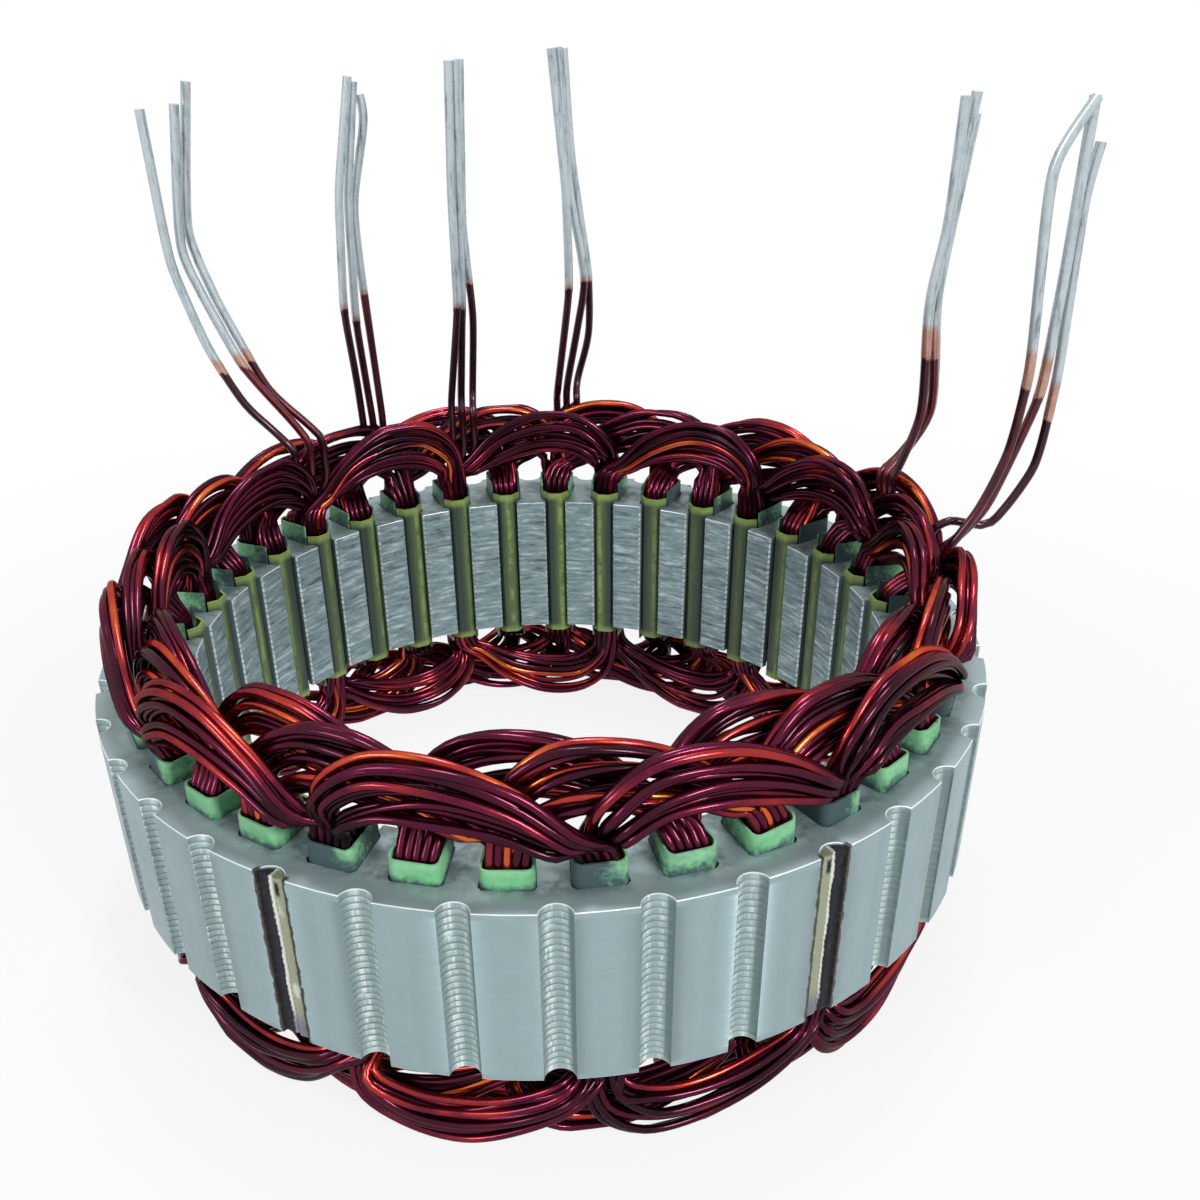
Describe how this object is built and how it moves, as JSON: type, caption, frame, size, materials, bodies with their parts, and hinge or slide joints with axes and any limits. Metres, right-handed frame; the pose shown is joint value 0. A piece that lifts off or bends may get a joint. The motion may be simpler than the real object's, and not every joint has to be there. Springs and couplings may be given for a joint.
{
  "type": "alternator stator",
  "caption": "Alternator stator: welded ring of steel laminations with lined and wedged slots, three-phase enamelled copper wave winding, and bundles of tinned lead wires standing up.",
  "frame": {"origin": "on the bore axis, at half the height of the lamination stack", "axes": "+Z along the bore axis, towards the side with the leads; -Y towards the viewer of the picture, with a groove of the stack on the -Y side"},
  "size_m": [0.1447, 0.134, 0.1216],
  "materials": {
    "core_steel": "bare punched and ground sheet steel",
    "weld_metal": "heat-tinted weld, half burnt dark",
    "liner_sheet": "mint green insulation sheet",
    "wedge_strip": "yellow-green folded insulation strip",
    "enamelled_wire": "glossy wine-red enamel over copper",
    "lead_wire": "tinned copper above a short bare band, enamelled below"
  },
  "bodies": {
    "root": {"laminated_core": "core_steel", "core_weld_beads": "weld_metal", "slot_liner_01": "liner_sheet", "slot_liner_02": "liner_sheet", "slot_liner_03": "liner_sheet", "slot_liner_04": "liner_sheet", "slot_liner_05": "liner_sheet", "slot_liner_06": "liner_sheet", "slot_liner_07": "liner_sheet", "slot_liner_08": "liner_sheet", "slot_liner_09": "liner_sheet", "slot_liner_10": "liner_sheet", "slot_liner_11": "liner_sheet", "slot_liner_12": "liner_sheet", "slot_liner_13": "liner_sheet", "slot_liner_14": "liner_sheet", "slot_liner_15": "liner_sheet", "slot_liner_16": "liner_sheet", "slot_liner_17": "liner_sheet", "slot_liner_18": "liner_sheet", "slot_liner_19": "liner_sheet", "slot_liner_20": "liner_sheet", "slot_liner_21": "liner_sheet", "slot_liner_22": "liner_sheet", "slot_liner_23": "liner_sheet", "slot_liner_24": "liner_sheet", "slot_liner_25": "liner_sheet", "slot_liner_26": "liner_sheet", "slot_liner_27": "liner_sheet", "slot_liner_28": "liner_sheet", "slot_liner_29": "liner_sheet", "slot_liner_30": "liner_sheet", "slot_liner_31": "liner_sheet", "slot_liner_32": "liner_sheet", "slot_liner_33": "liner_sheet", "slot_liner_34": "liner_sheet", "slot_liner_35": "liner_sheet", "slot_liner_36": "liner_sheet", "slot_wedges_pole_01": "wedge_strip", "slot_wedges_pole_02": "wedge_strip", "slot_wedges_pole_03": "wedge_strip", "slot_wedges_pole_04": "wedge_strip", "slot_wedges_pole_05": "wedge_strip", "slot_wedges_pole_06": "wedge_strip", "slot_wedges_pole_07": "wedge_strip", "slot_wedges_pole_08": "wedge_strip", "slot_wedges_pole_09": "wedge_strip", "slot_wedges_pole_10": "wedge_strip", "slot_wedges_pole_11": "wedge_strip", "slot_wedges_pole_12": "wedge_strip", "phase_a_winding": "enamelled_wire", "phase_b_winding": "enamelled_wire", "phase_c_winding": "enamelled_wire", "phase_a_finish_leads": "lead_wire", "phase_a_start_leads": "lead_wire", "phase_b_finish_leads": "lead_wire", "phase_b_start_leads": "lead_wire", "phase_c_finish_leads": "lead_wire", "phase_c_start_leads": "lead_wire"}
  },
  "joints": []
}
